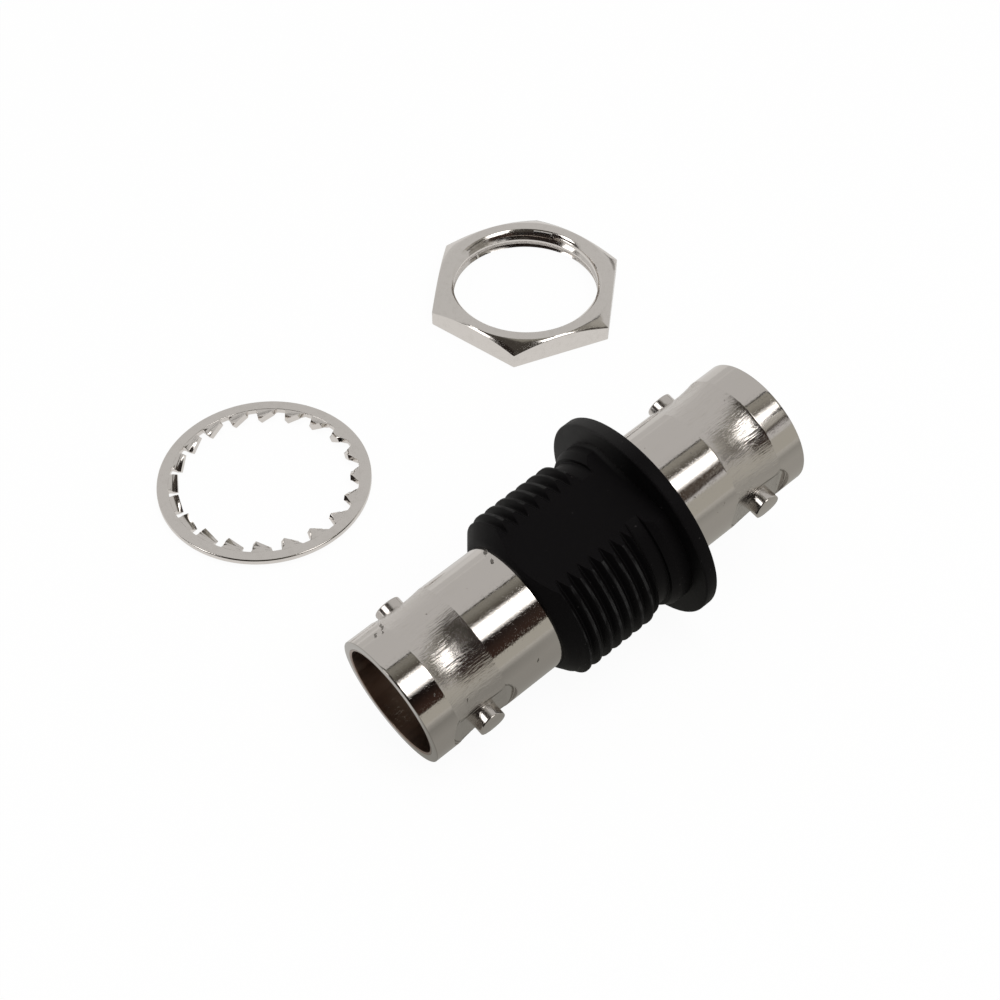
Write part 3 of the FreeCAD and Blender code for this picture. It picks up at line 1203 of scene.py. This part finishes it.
@dataclass
class HexNut:
    """Thin hex nut chamfered on top, with a right-hand thread of two turns in its bore."""

    turn: float = 43.5
    across_flats: float = 14.3
    thick: float = 2.0
    top: float = 13.95
    bore: float = 11.8
    groove: float = 12.7
    pitch: float = 0.907
    chamfer_degrees: float = 30.0
    corner_round: float = 0.12
    bore_end: float = 0.20
    lead_in: float = 0.12

    def outline(self, angle: float) -> float:
        """Distance from the axis to the nut's side.

        Args:
            angle: angle in radians from a corner.

        Returns:
            The distance.
        """
        off = (math.degrees(angle) + 30) % 60 - 30
        flat, cos = self.across_flats / 2, math.cos(math.radians(30))
        reach = flat / math.cos(math.radians(30 - abs(off)))
        inner = (flat - self.corner_round) / cos
        touch = math.degrees(math.atan2(self.corner_round / 2, inner + self.corner_round * cos))
        if abs(off) >= touch:
            return reach
        turn = math.radians(off)
        rounded = inner * math.cos(turn) + math.sqrt(self.corner_round**2 - (inner * math.sin(turn)) ** 2)
        return min(reach, rounded)

    def column(self, angle: float) -> np.ndarray:
        """Outline over the top, down the side and under the nut.

        Args:
            angle: angle in radians from a corner.

        Returns:
            Points (height, out).
        """
        reach = self.outline(angle)
        slope = math.tan(math.radians(self.chamfer_degrees))
        top = self.top / 2
        shoulder = self.thick - max(0.0, reach - top) * slope
        wall, mouth = self.bore / 2 + self.lead_in, self.bore / 2 + 0.32
        high = self.thick
        points = [(high - self.bore_end, wall), (high - 0.03, mouth - 0.02), (high, mouth + 0.04)]
        points += [(high, top - 0.25), (high, top - 0.05), (high - 0.012, top + 0.04)]
        points += [(high - (reach - top) * slope * 0.5, (reach + top) / 2)]
        points += [(shoulder + 0.035 * slope, reach - 0.04), (shoulder - 0.012, reach - 0.008)]
        points += [(shoulder - 0.05, reach), (0.09, reach), (0.03, reach - 0.015)]
        points += [(0, reach - 0.07), (0, mouth + 0.04), (0.03, mouth - 0.02), (self.bore_end, wall)]
        return np.array(points)

    def build(self, finish: bpy.types.Material) -> bpy.types.Object:
        """Makes the nut.

        Args:
            finish: nickel finish.

        Returns:
            The finished object.
        """
        draft = Draft()
        corners = (np.arange(0, 360, 60)[:, None] + np.linspace(-0.9, 0.9, 7)).ravel() % 360
        angles = np.radians(np.unique(np.concatenate([np.arange(0, 360, 1.5), corners])))
        angles = np.append(angles, 2 * math.pi)
        height, out = np.stack([self.column(float(angle)) for angle in angles], axis=1).transpose(2, 0, 1)
        draft.sheet(upright(height, out, angles)[:, ::-1])
        self.add_thread(draft, angles)
        place = Matrix.Translation(middle("hex_nut")) @ Matrix.Rotation(math.radians(self.turn), 4, "Z")
        made = draft.piece("hex_nut_plated", Matrix.Scale(MM, 4) @ place, sharp_degrees=30.0, weld=1e-3)
        settle(made, "hex_nut", finish)
        return made

    def add_thread(self, draft: Draft, angles: np.ndarray) -> None:
        """Adds the thread in the bore, running up as a right-hand helix.

        Args:
            draft: mesh that gets the thread.
            angles: angles of the mesh columns in radians.
        """
        wall, deep = self.bore / 2, self.groove / 2
        low, high = self.bore_end, self.thick - self.bore_end
        corners = [(-0.25, wall, 0), (0.18, wall, 0.05), (self.pitch / 2 + 0.09, deep, 0.06)]
        corners += [(self.pitch, wall, 0.05), (self.pitch + 0.25, wall, 0)]
        tooth = [p for p in eased(corners, 3) if p[0] < self.pitch + 0.17]
        rows = []
        for turn in range(-2, 4):
            for rise, radius in tooth:
                here = turn * self.pitch + rise + self.pitch * angles / (2 * math.pi)
                held = np.clip(here, low, high)
                ends = np.minimum(held - low, high - held)
                out = np.where(ends < self.lead_in, np.maximum(radius, wall + self.lead_in - ends), radius)
                out = np.where(ends <= 1e-6, wall + self.lead_in, out)
                rows.append(upright(held, out, angles))
        draft.sheet(np.array(rows)[:, ::-1])


@dataclass
class LockWasher:
    """Thin ring with twenty teeth inside, each twisted about its own length."""

    across: float = 15.99
    ring_width: float = 0.87
    thick: float = 0.45
    teeth: int = 20
    tip: float = 12.86
    root_width: float = 1.5
    tip_width: float = 1.35
    twist: float = 38.0

    def tip_height(self) -> float:
        """How far the lower corner of a tooth's tip hangs under the middle of the ring."""
        lean = math.radians(self.twist)
        return self.tip_width / 2 * math.sin(lean) + self.thick / 2 * math.cos(lean)

    def ring(self, draft: Draft) -> None:
        """Adds the ring with its edges broken.

        Args:
            draft: mesh that gets the ring.
        """
        half = self.thick / 2
        outer, inner = self.across / 2, self.across / 2 - self.ring_width
        seam = (-half, (outer + inner) / 2, 0)
        corners = [seam, (-half, outer, 0.09), (half, outer, 0.12)]
        corners += [(half, inner, 0.05), (-half, inner, 0.05), seam]
        height, out = np.array(eased(corners, 4)[:-1]).T[:, :, None]
        angles = np.linspace(0, 2 * math.pi, 360, endpoint=False)
        draft.sheet(upright(height, out, angles), ring_rows=True, ring_columns=True)

    def tooth(self, draft: Draft, turn: float) -> None:
        """Adds one tooth, twisted more towards its tip.

        Args:
            draft: mesh that gets the tooth.
            turn: the tooth's angle in radians.
        """
        inner = self.across / 2 - self.ring_width
        half = self.thick / 2
        rows = []
        for step in np.linspace(-0.35, 1, 14):
            share = max(0.0, float(step))
            radius = inner - (inner - self.tip / 2) * float(step)
            blend = share * share * (3 - 2 * share)
            width = self.root_width + (self.tip_width - self.root_width) * share
            width += 4 * max(0.0, 0.25 - share) ** 2
            lean = -math.radians(self.twist) * blend
            face = half if step >= 0 else half - 0.03
            wide, seam = width / 2, (0, -face)
            corners = [seam, (wide, -face), (wide, face), (-wide, face), (-wide, -face), seam]
            section = eased([(*corner, 0.05) for corner in corners], 2)[:-1]
            row = []
            for side, up in section:
                y = side * math.cos(lean) - up * math.sin(lean)
                z = side * math.sin(lean) + up * math.cos(lean)
                row.append((radius, y, z))
            rows.append(row)
        grid = np.array(rows)
        cos, sin = math.cos(turn), math.sin(turn)
        spin = np.array(((cos, -sin, 0), (sin, cos, 0), (0, 0, 1)))
        grid = grid @ spin.T
        draft.sheet(grid, ring_columns=True)
        draft.fan(grid[-1])

    def build(self, finish: bpy.types.Material) -> bpy.types.Object:
        """Makes the washer.

        Args:
            finish: nickel finish.

        Returns:
            The finished object.
        """
        draft = Draft()
        self.ring(draft)
        for number in range(self.teeth):
            self.tooth(draft, 2 * math.pi * number / self.teeth)
        lift = max(self.tip_height(), self.thick / 2)
        place = Matrix.Scale(MM, 4) @ Matrix.Translation(middle("lock_washer") + Vector((0, 0, lift)))
        made = draft.piece("lock_washer_plated", place, sharp_degrees=40.0)
        settle(made, "lock_washer", finish)
        return made


# Studio


@dataclass
class Studio:
    """White floor in a light tent, with the tent's opening and lamp as the polished metal shows them."""

    lay: Lay
    tent: float = 0.57
    tint: Colour = (1.0, 0.985, 0.96)
    lens: float = 65.987
    from_near_face: Point = (-37.61737, -56.914935, 98.265343)
    forward: Point = (0.416193, 0.505912, -0.755538)
    upward: Point = (0.479998, 0.583472, 0.655105)
    table_half: float = 0.9
    table_seen: float = 0.95
    axis_rise: float = 4.6
    lug_angle: float = 98.5
    hardware_reach: float = 11.0
    card_from: float = 450.0
    card_angle: float = 29.0
    card_across: tuple[float, float] = (-800, 640)
    card_along: tuple[float, float] = (-120, 660)
    glare: float = 4.5
    lamp_angle: float = 16.0
    lamp_lean: float = 10.0
    lamp_sides: tuple[float, float] = (0.20, 0.45)
    lamp_watts: float = 1.2

    def camera(self) -> None:
        """Sets the camera where the photograph was taken from."""
        data = bpy.data.cameras.new("view")
        data.lens = self.lens
        data.sensor_width = 36
        data.clip_start = 0.005
        data.clip_end = 10
        made = added("view", data)
        back = -Vector(self.forward).normalized()
        up = Vector(self.upward).normalized()
        right = up.cross(back).normalized()
        turn = Matrix((right, up, back)).transposed().to_4x4()
        place = Vector(self.lay.near_face) + Vector(self.from_near_face)
        made.matrix_world = Matrix.Translation(place * MM) @ turn
        bpy.context.scene.camera = made

    def world(self) -> None:
        """Lights the set with the tent, with plain white behind it, and lets reflections show its walls."""
        world = bpy.data.worlds.new("tent")
        world.use_nodes = True
        bpy.context.scene.world = world
        graph = Graph(world.node_tree)
        seen, mirrored = graph.rays()
        even = graph.shader("ShaderNodeBackground", self.tint, self.tent)
        plain = graph.shader("ShaderNodeBackground", (1, 1, 1))
        sides = graph.shader("ShaderNodeBackground", self.sides(graph))
        lit = graph.either(mirrored, even, sides)
        graph.output("ShaderNodeOutputWorld", graph.either(seen, lit, plain))

    def sides(self, graph: Graph) -> Link:
        """Walls of the tent and the dark room beyond its seams, by the direction of a reflection.

        Args:
            graph: node tree of the world.

        Returns:
            The colour seen that way.
        """
        sight = graph.node("ShaderNodeTexCoord").outputs["Generated"]
        axis, lug = self.lay.aim(0, 90), self.lay.aim(self.lug_angle, 0)
        along = graph.dot(sight, axis)
        up, front = (graph.dot(sight, self.lay.aim(angle, 0)) for angle in (0, 90))
        around = graph.angle(front, up)
        turn = graph.angle(along, graph.dot(sight, lug.cross(axis)))
        lean = graph.dot(sight, lug)
        level, narrow = lean.within(-0.52, -0.10, 0.05), lean.within(-0.44, -0.24, 0.02)
        behind = along.ramp(-0.11, -0.15) * around.within(-22, 73, 3)
        dark = graph.math("MAXIMUM", turn.within(-113, 3, 2) * level, behind)
        return graph.layered(
            self.gray(0.575),
            (around.within(-79, -75, 1.0) * 0.5, self.gray(0.68)),
            (around.ramp(-79, -81), self.gray(0.59)),
            (around.ramp(66, 70), (0.455, 0.44, 0.39)),
            (dark, (0.018, 0.013, 0.011)),
            (turn.within(-12, 4, 2) * level, (0.13, 0.095, 0.07)),
            (turn.within(-50, -21, 3) * narrow, self.gray(3.2)),
            (turn.within(-87, -78, 2) * narrow, self.gray(1.3)),
            (turn.within(97, 125, 4) * narrow, (0.07, 0.06, 0.05)),
        )

    def gray(self, level: float) -> Colour:
        """The tent's tint at a level."""
        return tuple(level * part for part in self.tint)

    def floor(self) -> None:
        """Lays the white table, darker in reflections beside the adapter, where the adapter shades it."""
        half = self.table_half
        made = flat_sheet("table", [(-half, -half, 0), (half, -half, 0), (half, half, 0), (-half, half, 0)])
        material, graph = new_material("table_white")
        seen, mirrored = graph.rays()
        matt = graph.node("ShaderNodeBsdfDiffuse", {}, {"Color": (0.9, 0.9, 0.9)}).outputs[0]
        white = graph.shader("ShaderNodeEmission", (1, 1, 1))
        shaded = graph.shader("ShaderNodeEmission", self.shade(graph))
        shown = graph.either(seen * self.table_seen, matt, white)
        graph.output("ShaderNodeOutputMaterial", graph.either(mirrored, shown, shaded))
        made.data.materials.append(material)

    def shade(self, graph: Graph) -> Link:
        """Table as reflections show it.

        Args:
            graph: node tree of the table's material.

        Returns:
            The colour at each place.
        """
        spot = graph.node("ShaderNodeTexCoord").outputs["Object"]
        split = graph.node("ShaderNodeSeparateXYZ", {}, {0: spot})
        x, y = (Value(graph, split.outputs[axis]) / MM for axis in range(2))
        face_x, face_y, face_z = self.lay.near_face
        height = face_z + (x - face_x).ramp(0, 32) * self.axis_rise
        out = graph.math("MAXIMUM", face_y - y, 0.0) / height
        levels = (0.34, 0.31, 0.32, 0.285, 0.25, 0.31, 0.41, 0.455)
        places = (0.0, 0.20, 0.32, 0.42, 0.52, 0.60, 0.72, 0.86)
        shades = [(at, (level, level * 0.975, level * 0.90)) for at, level in zip(places, levels)]
        front = graph.node("ShaderNodeValToRGB", {"stops": shades}, {0: out / (out + 5)}).outputs[0]
        far = (x - face_x).ramp(12, 26)
        front = graph.mix(far, front, graph.mix(0.13, front, (0.80, 0.78, 0.72)))
        behind = graph.mix(far, self.gray(0.60), self.gray(0.72))
        tone = graph.mix((y - face_y).ramp(-1.5, 1.5), front, behind)
        for centre in (middle("hex_nut"), middle("lock_washer")):
            gap = ((x - centre.x) ** 2 + (y - centre.y) ** 2) ** 0.5
            tone = graph.mix(gap.ramp(self.hardware_reach + 4, self.hardware_reach), tone, self.gray(0.74))
        return tone

    def card(self) -> None:
        """Hangs the card that only reflections see: the tent's opening, with the lamp and the dark room."""
        toward = self.lay.aim(self.card_angle, 0.0)
        across = self.lay.aim(self.card_angle + 90, 0.0)
        along = self.lay.aim(0.0, 90.0)
        (left, right), (near, far) = self.card_across, self.card_along
        corners = [(left, near), (right, near), (right, far), (left, far)]
        spots = [self.centre() + (toward * self.card_from + across * x + along * y) * MM for x, y in corners]
        made = flat_sheet("tent_opening", spots)
        own = made.data.attributes.new("own_mm", "FLOAT_VECTOR", "POINT")
        own.data.foreach_set("vector", np.array([(*corner, 0) for corner in corners], np.float32).ravel())
        made.data.materials.append(self.opening())
        made.visible_camera = False
        made.visible_diffuse = False
        made.visible_shadow = False
        made.visible_transmission = False
        made.visible_volume_scatter = False

    def centre(self) -> Vector:
        """Middle of the adapter in the row frame."""
        return self.lay.matrix() @ Vector((self.lay.length / 2, 0, 0))

    def opening(self) -> bpy.types.Material:
        """Material of that card, in which x runs across the opening and y along the adapter.

        Returns:
            The material, clear outside the opening.
        """
        material, graph = new_material("tent_opening")
        place, x, y, _ = graph.own()
        top = graph.math("MINIMUM", y * 1.07 - 558, -230.0)
        low = graph.math("MINIMUM", 430 + y * 0.12, 1010 - y * 3.1)
        low = graph.math("MAXIMUM", low, y.ramp(262, 275) * 330 - 60)
        lamp_top = -187 + y * 0.54
        lamp_low = 47 + y * 0.22 - y.ramp(225, 230) * 62
        past_lamp = x - lamp_low
        end = y.ramp(224, 229)
        lamp = (1 - past_lamp.ramp(0, 20) * end) * (x - lamp_top).ramp(-25, 105)
        lamp = lamp * (lamp_low - x).ramp(-48, 90) * y.ramp(58, 74) * y.ramp(254, 240)
        share = (x - top) / (lamp_top - top)
        haze = graph.layered(
            (0.235, 0.225, 0.195),
            (y.ramp(90, 280), (0.33, 0.315, 0.275)),
            (share.ramp(0.4, 1.0) * y.ramp(250, 225), (0.085, 0.075, 0.062)),
            (y.ramp(76, 50), (0.050, 0.044, 0.037)),
        )
        room = graph.layered(
            (0.009, 0.006, 0.005),
            (y.ramp(95, 150), (0.032, 0.022, 0.018)),
            (y.ramp(165, 200), (0.075, 0.058, 0.046)),
            (past_lamp.ramp(60, 300) * y.ramp(170, 150), (0.042, 0.023, 0.017)),
            (y.ramp(226, 231), (0.50, 0.485, 0.44)),
        )
        beyond = graph.mix(y.ramp(380, 480), (0.24, 0.228, 0.20), (0.36, 0.345, 0.31))
        jag = (graph.noise(place, 0.09, 3.0, 0.7) - 0.5) * 60
        tone = graph.layered(
            haze,
            (past_lamp.ramp(-25, 15), room),
            (y.ramp(268, 300), beyond),
            ((x - top).ramp(40, 32), (0.014, 0.011, 0.009)),
            ((low - x - end * 40).ramp(34, 26), (0.035, 0.022, 0.016)),
            (lamp, self.gray(self.glare)),
            ((past_lamp + jag).within(-10, 44, 5) * end, (0.02, 0.016, 0.013)),
        )
        inside = (x - top).ramp(-3, 3) * (low - x).ramp(-3, 3) * y.ramp(640, 600)
        clear = graph.node("ShaderNodeBsdfTransparent").outputs[0]
        glow = graph.shader("ShaderNodeEmission", tone)
        graph.output("ShaderNodeOutputMaterial", graph.either(inside, clear, glow))
        return material

    def lamp(self) -> None:
        """Hangs a soft lamp where the card shows it, for the plastic and the table."""
        data = bpy.data.lights.new("overhead", "AREA")
        data.shape = "RECTANGLE"
        data.size, data.size_y = self.lamp_sides
        data.energy = self.lamp_watts
        made = added("overhead", data)
        toward = self.lay.aim(self.lamp_angle, self.lamp_lean)
        made.location = self.centre() + toward * self.card_from * MM
        made.rotation_euler = toward.to_track_quat("Z", "Y").to_euler()
        made.visible_glossy = False

    def build(self) -> None:
        """Sets up camera, lights and stage."""
        self.camera()
        self.world()
        self.floor()
        self.card()
        self.lamp()
        bpy.context.scene.view_settings.view_transform = "Standard"
        LOG.info("studio is set")


def dress(nodes: dict[str, bpy.types.Object], name: str, finish: bpy.types.Material) -> None:
    """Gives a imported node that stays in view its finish.

    Args:
        nodes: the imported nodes.
        name: name of the node.
        finish: the node's material.
    """
    mesh = nodes[name].data
    mesh.materials.clear()
    mesh.materials.append(finish)
    LOG.info("%s keeps its packed shape", name)


def main() -> None:
    """Builds every piece in order."""
    logging.basicConfig(level=logging.INFO, format="%(name)s: %(message)s")
    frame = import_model()
    lay = Lay.found()
    Studio(lay).build()
    near = Jack(End.NEAR, lay)
    near.build(BarrelPlate(nicks=NEAR_NICKS).build(near))
    far = Jack(End.FAR, lay, deepest=3.76)
    far.build(BarrelPlate("barrel_nickel_far", seed=37.0, bend_before=0.006, bend_after=0.036).build(far))
    Bushing(lay).build(MouldedBlack().build())
    HexNut().build(HardwarePlate("nut_nickel").build())
    LockWasher().build(HardwarePlate("washer_nickel", wave_mm=0.012).build())
    white, worn_white = (0.80, 0.79, 0.74), (0.70, 0.69, 0.63)
    gold, worn_gold = (0.80, 0.56, 0.24), (0.66, 0.45, 0.19)
    sleeve = InnerFinish("insulator_white", white, worn_white, metallic=0.0, roughness=0.32).build()
    contact = InnerFinish("contact_gold", gold, worn_gold, metallic=1.0, roughness=0.20).build()
    dress(frame["nodes"], "near_insulator", sleeve)
    dress(frame["nodes"], "far_insulator", sleeve)
    dress(frame["nodes"], "centre_contact", contact)


if __name__ == "__main__":
    main()
